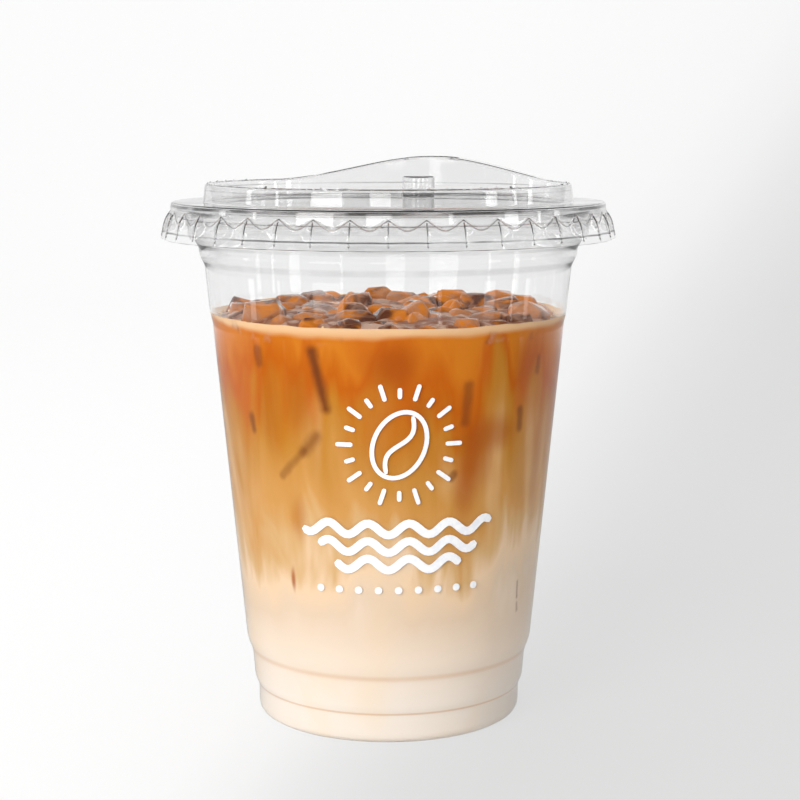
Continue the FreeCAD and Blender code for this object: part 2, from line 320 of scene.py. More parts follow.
# corners of the side: those of the steps lie out from the foot and up from the table, those of the neck
# in from the rim and down from its top, each with its rounding
cup = dict(wall=0.5, footSide=30.9, footRound=2.1, ringInner=24.8, puntRadius=22.4, puntHeight=3.0,
           baseRound=0.8, innerBaseIn=0.3, segments=256,
           stepCorners=((0.1, 6.3, 0.8), (1.0, 8.3, 0.8), (1.5, 14.6, 1.2), (2.75, 17.8, 1.4)),
           neckCorners=((8.1, 26.7, 1.0), (7.55, 24.7, 0.9), (6.5, 13.7, 1.1), (5.3, 11.6, 0.9),
                        (5.1, 9.3, 0.9), (3.6, 7.7, 0.9)),
           mouthIn=3.1, mouthRound=0.5, outerMouthDrop=1.6, innerMouthDrop=1.0,
           rollRadius=1.5, rollSheet=0.35, rollStart=165, rollEdge=-60, rollEnd=135, rollStep=15)


def cupSide(inset):
    # corners of the side from just above the foot to just under the rim: radius, height, rounding
    corners = [(cup["footSide"] + out, up, reach) for out, up, reach in cup["stepCorners"]]
    corners += [(rimRadius - into, cupHeight - down, reach) for into, down, reach in cup["neckCorners"]]
    return [(radius - inset, z, reach) for radius, z, reach in corners]


def wallRadius(z, inset):
    # radius of the wall at a height, from the corners of its side
    corners = cupSide(inset)
    for (r0, z0, _), (r1, z1, _) in zip(corners, corners[1:]):
        if z0 <= z <= z1:
            return r0 + (r1 - r0) * (z - z0) / (z1 - z0)
    return corners[-1][0]


def makeCup():
    wall, roll, step, base = cup["wall"], cup["rollRadius"], cup["rollStep"], cup["baseRound"]
    rollMiddle = (rimRadius - roll, cupHeight - roll)
    mouth = rimRadius - cup["mouthIn"]
    outside = [(0, cup["puntHeight"], 0), (cup["puntRadius"], cup["puntHeight"], base),
               (cup["ringInner"], 0, base), (cup["footSide"], 0, cup["footRound"])] + cupSide(0.0)
    outside.append((mouth, rollMiddle[1] - cup["outerMouthDrop"], cup["mouthRound"]))
    # the rim is a sheet rolled outward: up the inside of the roll, then back over its outside
    curl = arc(rollMiddle, roll - cup["rollSheet"], range(cup["rollStart"], cup["rollEdge"] - 1, -step))
    curl += arc(rollMiddle, roll, range(cup["rollEdge"], cup["rollEnd"] + 1, step))
    inside = [(mouth - wall, rollMiddle[1] - cup["innerMouthDrop"], cup["mouthRound"])] + cupSide(wall)[::-1]
    inside += [(cup["footSide"] - wall, wall, cup["footRound"] - wall),
               (cup["ringInner"] - cup["innerBaseIn"], wall, base),
               (cup["puntRadius"] - cup["innerBaseIn"], cup["puntHeight"] + wall, base),
               (0, cup["puntHeight"] + wall, 0)]
    path = softPath(outside + [curl[0] + (0,)]) + curl[1:-1] + softPath([curl[-1] + (0,)] + inside)
    points, faces = turned(path, cup["segments"])
    return meshPiece("cup_shell", points, faces, cupPlastic)


cupShell = makeCup()
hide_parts("cup")
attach(cupShell, "root")
print("cup made")


# heading: degrees from the back to the right, where spout, slot and boss stand; film: the sheet as drawn
lid = dict(wall=0.45, film=0.32, seatGap=0.3, rimGap=0.55,
           draft=0.45, draftDepth=4.9, pleats=40, pleatSteps=16, ridgeRound=0.045, bead=0.16, beadReach=0.13,
           skirtLevels=(8.15, 7.9, 7.45, 6.9, 6.4, 5.9, 5.5, 5.2), archFrom=5.0, archStep=0.2, archLevels=18,
           brimDraft=0.12, brimDrop=1.3, brimRound=0.6, deckWidth=7.4,
           drumHeight=4.1, drumDraft=0.4, drumLand=1.5, drumSlope=0.5, drumFootOut=0.1, drumFootRound=0.45,
           crestRound=0.75, floorDrop=0.5, floorRound=0.7, floorEdge=1.0, heading=16.5,
           spoutRise=5.4, spoutHalfAngle=58.0, spoutLand=6.4, spoutSlope=3.9,
           sipWidth=5.2, sipLength=14.0, sipMargin=1.1, sipAbove=3, sipStep=10,
           pegRadius=3.9, pegHeight=5.4, pegRound=0.6, pegGap=1.6, pegFootOut=0.35, pegFootRound=0.3,
           pegTopFlat=0.5, pegSides=48)
lidTop = cupHeight + lid["seatGap"] + lid["wall"]
brimRadius = rimRadius + lid["rimGap"] + lid["wall"]
drumRadius = brimRadius - lid["deckWidth"]
lidFloor = lidTop - lid["floorDrop"]
crestOut = drumRadius - 2 * lid["drumDraft"]
pegDistance = crestOut - lid["spoutLand"] - lid["spoutSlope"] - lid["pegGap"] - lid["pegRadius"]

# each row: depth below the brim's top, and how far ridges and hollows stand out from the plain wall
pleatRows = ((1.7, -0.6, -1.6), (1.95, -0.3, -1.3), (2.6, 0.2, -0.9), (3.3, 0.68, -0.5), (4.05, 1.05, -0.12),
             (5.0, 1.3, 0.35), (6.05, 1.5, 0.78), (7.0, 1.72, 1.28), (7.7, 1.88, 1.68), (8.15, 2.0, 1.9))


def plainRadius(down):
    # radius of the brim's plain wall at a depth
    return brimRadius + lid["draft"] * min(1, down / lid["draftDepth"])


def pleatRadius(down, turn):
    # radius of the pleated surface at a depth and an angle: sharp ridges with hollow panels between
    for (d0, ridge0, hollow0), (d1, ridge1, hollow1) in zip(pleatRows, pleatRows[1:]):
        if down <= d1:
            break
    t = (down - d0) / (d1 - d0)
    ridge = ridge0 + (ridge1 - ridge0) * t
    hollow = hollow0 + (hollow1 - hollow0) * t
    panel = (turn * lid["pleats"] / (2 * pi)) % 1.0
    soft = lid["ridgeRound"]
    fromRidge = hypot(1 - abs(2 * panel - 1), soft) - soft
    return brimRadius + lid["draft"] + hollow + (ridge - hollow) * (1 - fromRidge) ** 2


def lidSection(turn):
    # the lid's outside in one upright plane, from the skirt's edge in to the sunken floor
    path = []
    archLevels = [lid["archFrom"] - lid["archStep"] * k for k in range(lid["archLevels"])]
    for down in list(lid["skirtLevels"]) + archLevels:
        plain, pleat = plainRadius(down), pleatRadius(down, turn)
        # a fine bead stands out where the pleats begin
        bead = lid["bead"] * exp(-((pleat - plain) / lid["beadReach"]) ** 2)
        path.append((max(plain, pleat) + bead, lidTop - down))
    # the ring is higher and wider over the spout, by a bump that fades to both sides
    fromSpout = (degrees(turn) - (180 - lid["heading"]) + 180) % 360 - 180
    reach = lid["spoutHalfAngle"]
    bump = cos(radians(90 * fromSpout / reach)) ** 2 if abs(fromSpout) < reach else 0
    crest = lidTop + lid["drumHeight"] + lid["spoutRise"] * bump
    out = drumRadius - lid["drumDraft"] * (1 + bump)
    inner = out - (lid["drumLand"] + (lid["spoutLand"] - lid["drumLand"]) * bump)
    slope = lid["drumSlope"] + (lid["spoutSlope"] - lid["drumSlope"]) * bump
    corners = [(brimRadius + lid["brimDraft"], lidTop - lid["brimDrop"], 0),
               (brimRadius, lidTop, lid["brimRound"]),
               (drumRadius + lid["drumFootOut"], lidTop, lid["drumFootRound"]),
               (out, crest, lid["crestRound"]), (inner, crest, lid["crestRound"]),
               (inner - slope, lidFloor, lid["floorRound"]), (inner - slope - lid["floorEdge"], lidFloor, 0)]
    return path + softPath(corners, 5)


def makeLid():
    count = lid["pleats"] * lid["pleatSteps"]
    turns = [2 * pi * k / count for k in range(count)]
    sections = [lidSection(turn) for turn in turns]
    points, rows = [], []
    for level in zip(*sections):
        rows.append(list(range(len(points), len(points) + count)))
        points += [(r * sin(turn), -r * cos(turn), z) for turn, (r, z) in zip(turns, level)]
    mesh = bpy.data.meshes.new("lid_shell")
    mesh.from_pydata(points, [], joinRows(rows))
    bm = bmesh.new()
    bm.from_mesh(mesh)
    addFloor(bm)
    bmesh.ops.recalc_face_normals(bm, faces=bm.faces)
    bmesh.ops.scale(bm, vec=(mm, mm, mm), verts=bm.verts)
    bm.to_mesh(mesh)
    bm.free()
    piece = tidyPiece("lid_shell", mesh, lidPlastic)
    shell = piece.modifiers.new("wall", "SOLIDIFY")
    shell.thickness = lid["film"] * mm
    shell.offset = -1
    appliedMesh(piece)
    cutter = sipCutter()
    cut = piece.modifiers.new("sip", "BOOLEAN")
    cut.operation = "DIFFERENCE"
    cut.solver = "EXACT"
    cut.object = cutter
    appliedMesh(piece)
    bpy.data.objects.remove(cutter)
    piece.data.shade_smooth()
    piece.data.set_sharp_from_angle(angle=sharpEdge)
    return piece


def addFloor(bm):
    # fills the ring with a flat floor that has the round boss standing out of it
    loop = [e for e in bm.edges if e.is_boundary and e.verts[0].co.z > lidFloor - 0.01]
    turn, around, radius = radians(lid["heading"]), lid["pegSides"], lid["pegRadius"]
    middle = Vector((pegDistance * sin(turn), pegDistance * cos(turn)))
    top = lidFloor + lid["pegHeight"]
    bossPath = softPath([(radius + lid["pegFootOut"], lidFloor, 0), (radius, lidFloor, lid["pegFootRound"]),
                         (radius, top, lid["pegRound"]), (lid["pegTopFlat"], top, 0)])
    turns = [2 * pi * k / around for k in range(around)]
    rings = []
    for r, z in bossPath:
        rings.append([bm.verts.new((middle.x + r * cos(a), middle.y + r * sin(a), z)) for a in turns])
    for lower, upper in zip(rings, rings[1:]):
        for k in range(around):
            n = (k + 1) % around
            bm.faces.new((lower[k], lower[n], upper[n], upper[k]))
    bm.faces.new(rings[-1])
    loop += [bm.edges.get((rings[0][k], rings[0][(k + 1) % around])) for k in range(around)]
    bmesh.ops.triangle_fill(bm, use_beauty=True, use_dissolve=False, edges=loop)


def sipCutter():
    # a tall slot with round ends
    radius = lid["sipWidth"] / 2
    half = (lid["sipLength"] - lid["sipWidth"]) / 2
    outline = arc((half, 0), radius, range(-90, 91, lid["sipStep"]))
    outline += [(-x, -y) for x, y in outline]
    distance = crestOut - lid["sipMargin"] - radius
    turn = radians(lid["heading"])
    bottom = lidTop + lid["drumHeight"]
    placed = [(x * cos(turn) + (y + distance) * sin(turn), -x * sin(turn) + (y + distance) * cos(turn))
              for x, y in outline]
    points = [(x, y, z) for z in (bottom, bottom + lid["spoutRise"] + lid["sipAbove"]) for x, y in placed]
    count = len(outline)
    faces = [list(range(count)), list(range(count, 2 * count))]
    faces += [(k, (k + 1) % count, count + (k + 1) % count, count + k) for k in range(count)]
    return meshPiece("sip_cutter", points, faces, lidPlastic, smooth=False)


# beads along the pleats: ridges sink a little in the skirt, arches follow where it leaves the plain wall
crease = dict(ridgeWidth=0.17, ridgeSink=0.06, ridgeDepths=(2.5, 3.1, 3.8, 4.6, 5.4, 6.2, 7.0, 7.5),
              archWidth=0.14, archSink=0.02, archSteps=14, archFrom=1.9, archStep=0.05, archTries=60)


def tube(line, radius, sides=6):
    # points and faces of a closed thin tube round the lid's axis, along a line of (turn, radius, height)
    places = [Vector((r * sin(turn), -r * cos(turn), z)) for turn, r, z in line]
    points, rows = [], []
    for k, place in enumerate(places):
        along = (places[min(k + 1, len(places) - 1)] - places[max(k - 1, 0)]).normalized()
        outward = Vector((place.x, place.y, 0)).normalized()
        side = along.cross(outward).normalized()
        outward = side.cross(along)
        rows.append(list(range(len(points), len(points) + sides)))
        points += [place + radius * (outward * cos(2 * pi * i / sides) + side * sin(2 * pi * i / sides))
                   for i in range(sides)]
    return points, joinRows(rows) + [rows[0][::-1], rows[-1]]


def archDepth(turn):
    # how far down the pleated surface comes out of the plain wall at an angle
    for k in range(crease["archTries"]):
        down = crease["archFrom"] + crease["archStep"] * k
        if pleatRadius(down, turn) > plainRadius(down):
            break
    return down


def makeCreases():
    beads = []
    pitch = 2 * pi / lid["pleats"]
    for k in range(lid["pleats"]):
        turn = 2 * pi * k / lid["pleats"]
        ridge = [(turn, pleatRadius(down, turn) - crease["ridgeSink"], lidTop - down)
                 for down in crease["ridgeDepths"]]
        arch = []
        for i in range(crease["archSteps"] + 1):
            here = turn + pitch * i / crease["archSteps"]
            down = archDepth(here)
            arch.append((here, plainRadius(down) - crease["archSink"], lidTop - down))
        beads += [tube(ridge, crease["ridgeWidth"]), tube(arch, crease["archWidth"])]
    return meshPiece("lid_creases", *gathered(beads), lidPlastic)


lidShell = makeLid()
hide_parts("lid")
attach(lidShell, "root")
lidCreases = makeCreases()
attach(lidCreases, "root")
print("lid made", len(lidShell.data.polygons))


# top is where the body ends and the foam layer begins; waves, chop, slosh and swell make the surface uneven,
# each with its size across
drink = dict(intoWall=0.15, top=foamLow[2] / mm + 0.2, level=93.9, climb=0.75, climbRun=1.3,
             waves=0.35, waveSize=14, chopSize=5, chopShare=0.5, slosh=0.7, sloshSize=30,
             swell=1.1, swellSize=3.6, swellReach=(35.5, 38.5), innerFromRim=7.8,
             segments=288, rings=44, ringCrowding=1.35, wallContact=0.9, edgeHeights=(93.2, 92.2))
innerWall = rimRadius - drink["innerFromRim"] - cup["wall"]

# how the drink looks against the wall, from the foot up: height and colour
drinkTones = ((0, (236, 225, 213)), (8, (236, 225, 213)), (20, (234, 216, 197)), (30, (223, 199, 173)),
              (38, (232, 202, 168)), (45, (211, 170, 118)), (52, (204, 149, 82)), (60, (198, 141, 71)),
              (68, (190, 132, 56)), (78, (185, 119, 34)), (86, (185, 92, 9)), (94, (200, 116, 27)))
# drift, finger and wisp: how far each noise moves the milk's edge, fading in between the heights of tongues;
# lean in degrees and sway in millimetres make patches and ice edges uneven; perDegree: wall to a degree
marbling = dict(drift=50, finger=26, wisp=6, tongues=(22, 40),
                milky=(238, 208, 164), milkyShare=0.32, milkyHeights=(84, 70),
                strong=(186, 88, 14), strongShare=0.55, strongHeights=(58, 80),
                patch=(160, 74, 10), patchSoft=(1.5, 0.2), lean=12,
                iceEdge=(112, 56, 22), iceEdgeSoft=(1.45, 0.15), sway=2.4, perDegree=0.65,
                stepTone=(206, 152, 92))
# edges of ice that touch the wall: degrees from the front, height, of both ends; width; strength
iceEdges = ((-24.1, 89.5, -20.3, 77.2, 1.5, 0.95), (-23.8, 71.0, -28.5, 67.5, 1.7, 0.6),
            (-28.5, 67.5, -38.3, 61.3, 1.0, 0.45), (-45.4, 89.0, -45.0, 86.2, 1.3, 0.6),
            (-51.2, 73.4, -50.6, 70.7, 1.1, 0.7), (26.0, 82.0, 25.2, 74.0, 1.3, 0.6),
            (48.3, 75.3, 48.6, 71.2, 1.2, 0.65), (56.2, 86.5, 56.0, 83.6, 1.0, 0.5),
            (21.9, 62.4, 20.8, 61.4, 0.9, 0.6), (56.5, 34.6, 57.2, 31.0, 0.7, 0.6),
            (57.5, 29.5, 58.2, 27.8, 0.6, 0.4))
# stronger coffee, in soft patches: degrees from the front, height, half width, half height, strength
strongPatches = ((2.0, 86.5, 8.0, 5.0, 0.75), (38.0, 71.0, 9.0, 4.0, 0.55), (31.0, 66.0, 5.5, 9.0, 0.75),
                 (28.0, 58.0, 4.0, 6.0, 0.5), (-30.0, 79.0, 5.0, 8.0, 0.4), (-41.0, 76.0, 5.0, 11.0, 0.35),
                 (12.0, 76.0, 4.0, 4.0, 0.35), (50.0, 86.0, 6.0, 5.0, 0.4), (-36.0, 37.5, 1.0, 2.6, 0.8),
                 (-33.0, 52.0, 3.0, 5.0, 0.3), (62.0, 60.0, 4.0, 14.0, 0.35))
# thin darker lines on the drink where the cup's wall steps: height, half width, strength
stepLines = ((7.0, 0.45, 0.5), (15.6, 1.1, 0.3))
# foam along the wall, and the dark brown pool inside it with pale patches of painted reflection: heights or
# radii between which each one fades in
froth = dict(fadeIn=(95.9, 97.5), wave=6.0, chop=1.2,
             low=(216, 160, 106), high=(226, 186, 142), toneHeights=(92.6, 94.6))
pool = dict(shore=(43.6, 42.2), shoreWave=7.0, above=(90.5, 91.5), dark=(128, 74, 42), pale=(184, 150, 130))


def drinkMaterial():
    material, s = newMaterial("milkyCoffee")
    place = s.node("ShaderNodeTexCoord", out="Object")
    split = s.node("ShaderNodeSeparateXYZ", {}, {"Vector": place})
    x, y, z = split, split.other("Y"), split.other("Z")
    height = z / mm
    heading = s.math("ARCTAN2", x, -y) * (180 / pi)        # degrees to the right of the front
    radius = s.math("SQRT", x * x + y * y) / mm

    def grain(across, along, detail=2.0, shift=0.0, warp=0.0):
        # noise with so many features per metre across and up the wall, moved aside by shift
        stretched = s.node("ShaderNodeMapping", {}, {
            "Vector": place, "Scale": (across, across, along), "Location": (shift, shift, shift)})
        return s.node("ShaderNodeTexNoise", {}, {
            "Vector": stretched, "Scale": 1.0, "Detail": detail, "Roughness": 0.5, "Distortion": warp})

    # where milk gives way to coffee: broad drifts with finer fingers and wisps between them
    drift = grain(38, 17, detail=2.5, shift=3.1, warp=1.0)
    finger = grain(115, 30, detail=2.0, shift=7.7, warp=1.1)
    wisp = grain(420, 45, detail=3.0, shift=1.3)
    tongues = height.smooth(*marbling["tongues"])
    moved = (drift - 0.5) * marbling["drift"] + (finger - 0.5) * marbling["finger"]
    moved = moved + (wisp - 0.5) * marbling["wisp"]
    blended = height + tongues * moved
    top = drinkTones[-1][0]
    stops = [(level / top, tone(*colour)) for level, colour in drinkTones]
    ramp = s.node("ShaderNodeValToRGB", {"stops": stops}, {"Fac": blended / top})

    # clouds of stronger and of milkier coffee in the upper part
    cloud = grain(60, 26, detail=2.5, shift=11.4, warp=0.6).smooth(0.44, 0.68)
    cloud = cloud * height.smooth(*marbling["strongHeights"])
    pale = grain(46, 15, detail=3.0, shift=21.9, warp=0.9).smooth(0.46, 0.70)
    pale = pale * height.smooth(*marbling["milkyHeights"])
    colour = (pale * marbling["milkyShare"]).blend(ramp, tone(*marbling["milky"]))
    colour = (cloud * marbling["strongShare"]).blend(colour, tone(*marbling["strong"]))
    lean = (drift - 0.5) * marbling["lean"]
    for turn, level, halfWidth, halfHeight, strength in strongPatches:
        across, along = (heading - turn + lean) / halfWidth, (height - level) / halfHeight
        patch = s.math("SQRT", across * across + along * along).smooth(*marbling["patchSoft"]) * strength
        colour = patch.blend(colour, tone(*marbling["patch"]))

    # dark edges of ice, by the distance from the line between both ends, measured along the wall
    sway = (grain(170, 110, detail=3.0, shift=15.0) - 0.5) * marbling["sway"]
    softOut, softIn = marbling["iceEdgeSoft"]
    for turn0, level0, turn1, level1, width, strength in iceEdges:
        run, rise = (turn1 - turn0) * marbling["perDegree"], level1 - level0
        across, along = (heading - turn0) * marbling["perDegree"], height - level0
        share = s.math("MULTIPLY", across * run + along * rise, 1 / hypot(run, rise) ** 2, clamp=True)
        dx, dz = across - share * run, along - share * rise
        near = (s.math("SQRT", dx * dx + dz * dz) + sway).smooth(width * softOut, width * softIn)
        colour = (near * strength).blend(colour, tone(*marbling["iceEdge"]))
    for level, width, strength in stepLines:
        line = s.math("ABSOLUTE", height - level).smooth(width, 0.0) * strength
        colour = line.blend(colour, tone(*marbling["stepTone"]))

    # the foam that lies along the wall
    edge = grain(42, 8, shift=5.2) * froth["wave"] + grain(120, 50, shift=2.2) * froth["chop"]
    foam = (height + edge).smooth(*froth["fadeIn"])
    frothTone = height.smooth(*froth["toneHeights"]).blend(tone(*froth["low"]), tone(*froth["high"]))
    colour = foam.blend(colour, frothTone)

    # between the ice the drink is thin and dark brown, mottled with pale painted reflection of the room
    shore = radius + grain(130, 130, detail=3.0, shift=4.4) * pool["shoreWave"]
    inPool = shore.smooth(*pool["shore"]) * height.smooth(*pool["above"])
    paintedReflectionMottle = grain(200, 200, detail=3.0, shift=9.1, warp=1.2).smooth(0.42, 0.60)
    colour = inPool.blend(colour, paintedReflectionMottle.blend(tone(*pool["dark"]), tone(*pool["pale"])))
    bump = s.node("ShaderNodeBump", {}, {"Height": wisp, "Strength": 0.06, "Distance": 0.6 * mm})
    shader = s.node("ShaderNodeBsdfPrincipled", {}, {
        "Base Color": colour, "Roughness": 0.35, "IOR": 1.34, "Specular IOR Level": 0.15, "Normal": bump})
    closeMaterial(shader, s)
    return material


def makeLatte():
    # the whole drink below the foam, a little into the cup's wall so that no air gap shows
    inset = cup["wall"] - drink["intoWall"]
    punt, base = cup["puntHeight"] + inset, cup["baseRound"]
    corners = [(0, punt, 0), (cup["puntRadius"] - cup["innerBaseIn"], punt, base),
               (cup["ringInner"] - cup["innerBaseIn"], inset, base),
               (cup["footSide"] - inset, inset, cup["footRound"] - inset)]
    corners += [c for c in cupSide(inset) if c[1] < drink["top"]]
    corners += [(wallRadius(drink["top"], inset), drink["top"], 0), (0, drink["top"], 0)]
    points, faces = turned(softPath(corners), drink["segments"])
    piece = meshPiece("latte_body", points, faces, milkyCoffee)
    piece.data.set_sharp_from_angle(angle=sharpEdge)
    return piece


def ripples(x, y, size, layer):
    # smooth noise between about -1 and 1, another one in each layer
    return noise.noise(Vector((x / size, y / size, layer)))


def surfaceLevel(x, y):
    # the drink's surface: uneven between the ice, and drawn up where it meets the wall
    radius = hypot(x, y)
    wave = ripples(x, y, drink["waveSize"], 3.0) + drink["chopShare"] * ripples(x, y, drink["chopSize"], 8.0)
    lift = drink["climb"] * exp(-(innerWall - radius) / drink["climbRun"])
    slosh = drink["slosh"] * ripples(x, y, drink["sloshSize"], 1.0)
    # the thin drink between the ice is drawn up round it
    inner, outer = drink["swellReach"]
    inside = min(1.0, max(0.0, (outer - radius) / (outer - inner)))
    swell = drink["swell"] * inside ** 2 * (3 - 2 * inside) * (1 + ripples(x, y, drink["swellSize"], 5.0))
    return drink["level"] + drink["waves"] * wave + slosh + max(0.0, lift) + swell


def makeFoam():
    # the uneven surface, closed by a rim along the wall and a flat underside
    inset = cup["wall"] - drink["intoWall"]
    segments, rings = drink["segments"], drink["rings"]
    turns = [2 * pi * k / segments for k in range(segments)]
    points, rows = [(0, 0, surfaceLevel(0, 0))], [[0] * segments]
    widest = wallRadius(drink["level"] + drink["wallContact"], inset)
    for j in range(1, rings + 1):
        reach = widest * (1 - (1 - j / rings) ** drink["ringCrowding"])
        rows.append(list(range(len(points), len(points) + segments)))
        around = [(reach * sin(turn), -reach * cos(turn)) for turn in turns]
        points += [(x, y, surfaceLevel(x, y)) for x, y in around]
    for z in drink["edgeHeights"] + (drink["top"],):
        reach = wallRadius(z, inset)
        rows.append(list(range(len(points), len(points) + segments)))
        points += [(reach * sin(turn), -reach * cos(turn), z) for turn in turns]
    rows.append([len(points)] * segments)
    points.append((0, 0, drink["top"]))
    piece = meshPiece("foam_layer", points, joinRows(rows), milkyCoffee)
    piece.data.set_sharp_from_angle(angle=sharpEdge)
    return piece


milkyCoffee = drinkMaterial()
latteBody = makeLatte()
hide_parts("milk", "coffee")
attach(latteBody, "root")
foamLayer = makeFoam()
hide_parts("foam")
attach(foamLayer, "root")
print("drink made")


# fine bubbles along the foam's edge: how many to a square metre, radii, and the ring they lie in
bubbles = dict(density=420000.0, seed=3, small=0.10, large=0.34, inner=37.6, outer=40.0,
               dark=(214, 158, 98), pale=(246, 214, 168))


def scatterTree(values):
    # a node group that strews small balls over a ring of a surface; returns it and its inputs' identifiers
    tree = bpy.data.node_groups.new("bubbleScatter", "GeometryNodeTree")
    tree.interface.new_socket("Geometry", in_out="OUTPUT", socket_type="NodeSocketGeometry")
    tree.interface.new_socket("Geometry", in_out="INPUT", socket_type="NodeSocketGeometry")
    names = {}
    for name, kind in (("Density", "Float"), ("Seed", "Int"), ("Small", "Float"), ("Large", "Float"),
                       ("Inner", "Float"), ("Outer", "Float"), ("Material", "Material")):
        socket = tree.interface.new_socket(name, in_out="INPUT", socket_type="NodeSocket" + kind)
        names[name] = socket.identifier
    g = Sock(tree)
    given = g.node("NodeGroupInput")
    split = g.node("ShaderNodeSeparateXYZ", {}, {"Vector": g.node("GeometryNodeInputPosition")})
    x, y = split, split.other("Y")
    radius = g.math("SQRT", x * x + y * y)
    beyondInner = g.math("GREATER_THAN", radius, given.other("Inner"))
    ring = beyondInner * g.math("LESS_THAN", radius, given.other("Outer"))
    points = g.node("GeometryNodeDistributePointsOnFaces", {}, {
        "Mesh": given, "Selection": ring, "Density": given.other("Density"), "Seed": given.other("Seed")})
    ball = g.node("GeometryNodeMeshIcoSphere", {}, {"Radius": 1.0, "Subdivisions": 2})
    lowest, highest = 2, 3        # the Random Value node's sockets for plain numbers
    scale = g.node("FunctionNodeRandomValue", {"data_type": "FLOAT"}, {
        lowest: given.other("Small"), highest: given.other("Large"), "Seed": given.other("Seed")}, out=1)
    placed = g.node("GeometryNodeInstanceOnPoints", {}, {"Points": points, "Instance": ball, "Scale": scale})
    solid = g.node("GeometryNodeRealizeInstances", {}, {"Geometry": placed})
    smooth = g.node("GeometryNodeSetShadeSmooth", {}, {"Geometry": solid})
    painted = g.node("GeometryNodeSetMaterial", {}, {"Geometry": smooth, "Material": given.other("Material")})
    result = tree.nodes.new("NodeGroupOutput")
    tree.links.new(painted.socket, result.inputs[0])
    return tree, {names[key]: value for key, value in values.items()}


def makeBubbles():
    tree, values = scatterTree({
        "Density": bubbles["density"], "Seed": bubbles["seed"], "Small": bubbles["small"] * mm,
        "Large": bubbles["large"] * mm, "Inner": bubbles["inner"] * mm, "Outer": bubbles["outer"] * mm,
        "Material": bubbleSkin})
    piece = bpy.data.objects.new("foam_bubbles", foamLayer.data.copy())
    bpy.context.scene.collection.objects.link(piece)
    scatter = piece.modifiers.new("scatter", "NODES")
    scatter.node_group = tree
    for identifier, value in values.items():
        scatter[identifier] = value
    return appliedMesh(piece)


def bubbleMaterial():
    material, s = newMaterial("bubbleSkin")
    place = s.node("ShaderNodeTexCoord", out="Object")
    shade = s.node("ShaderNodeTexNoise", {}, {"Vector": place, "Scale": 700.0})
    colour = shade.smooth(0.4, 0.6).blend(tone(*bubbles["dark"]), tone(*bubbles["pale"]))
    shader = s.node("ShaderNodeBsdfPrincipled", {}, {"Base Color": colour, "Roughness": 0.12, "IOR": 1.33})
    closeMaterial(shader, s)
    return material


bubbleSkin = bubbleMaterial()
foamBubbles = makeBubbles()
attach(foamBubbles, "root")
print("bubbles made", len(foamBubbles.data.polygons))


# chunks come from the CAD's ice and end lower by what has melted; fragments lie between them, in a ring along
# the wall and then in a spiral inside it; depth is how near a lump's corners come to its box, and faces that
# turn by less than flatten degrees become one
ice = dict(seed=5, points=24, depth=(0.8, 1.0), flatten=12, bevelSteps=3, bevel=0.5, melted=1.4,
           fragments=64, outerRing=26, poolRadius=39.2, spiralTurn=137.5, spiralStart=0.6, spiralReach=0.88,
           fragmentSize=(2.8, 5.6), fragmentLevel=(-1.6, 0.9), fragmentWidth=(0.7, 1.1),
           fragmentHeight=(0.6, 0.9), fragmentBevel=0.4,
           # film: the milky skin's colour, partly a painted reflection of the pale room
           dark=(88, 40, 8), amber=(206, 118, 4), film=(166, 124, 100), skinSheenShare=0.6)


def iceMaterial(name, sheenNoise):
    # amber ice under a milky skin that is partly a painted reflection of the pale room, which comes in
    # between the two noise levels given
    material, s = newMaterial(name)
    place = s.node("ShaderNodeTexCoord", out="Object")
    cloud = s.node("ShaderNodeTexNoise", {}, {
        "Vector": place, "Scale": 105.0, "Detail": 3.0, "Distortion": 0.8})
    milk = s.node("ShaderNodeTexNoise", {}, {
        "Vector": place, "Scale": 60.0, "Detail": 4.0, "Distortion": 1.6})
    amber = cloud.smooth(0.42, 0.57).blend(tone(*ice["dark"]), tone(*ice["amber"]))
    colour = (milk.smooth(*sheenNoise) * ice["skinSheenShare"]).blend(amber, tone(*ice["film"]))
    ripple = s.node("ShaderNodeTexNoise", {}, {"Vector": place, "Scale": 260.0, "Detail": 2.0})
    bump = s.node("ShaderNodeBump", {}, {"Height": cloud + ripple * 0.8, "Strength": 0.5, "Distance": mm})
    shader = s.node("ShaderNodeBsdfPrincipled", {}, {
        "Base Color": colour, "Roughness": 0.03, "IOR": 1.42, "Specular IOR Level": 0.3,
        "Transmission Weight": 0.1, "Normal": bump})
    closeMaterial(shader, s)
    return material


coffeeIce = iceMaterial("coffeeIce", (0.52, 0.64))
# the same ice with more of its pale skin: a painted highlight for the melted edges
iceEdgeHighlight = iceMaterial("iceEdgeHighlight", (0.44, 0.58))


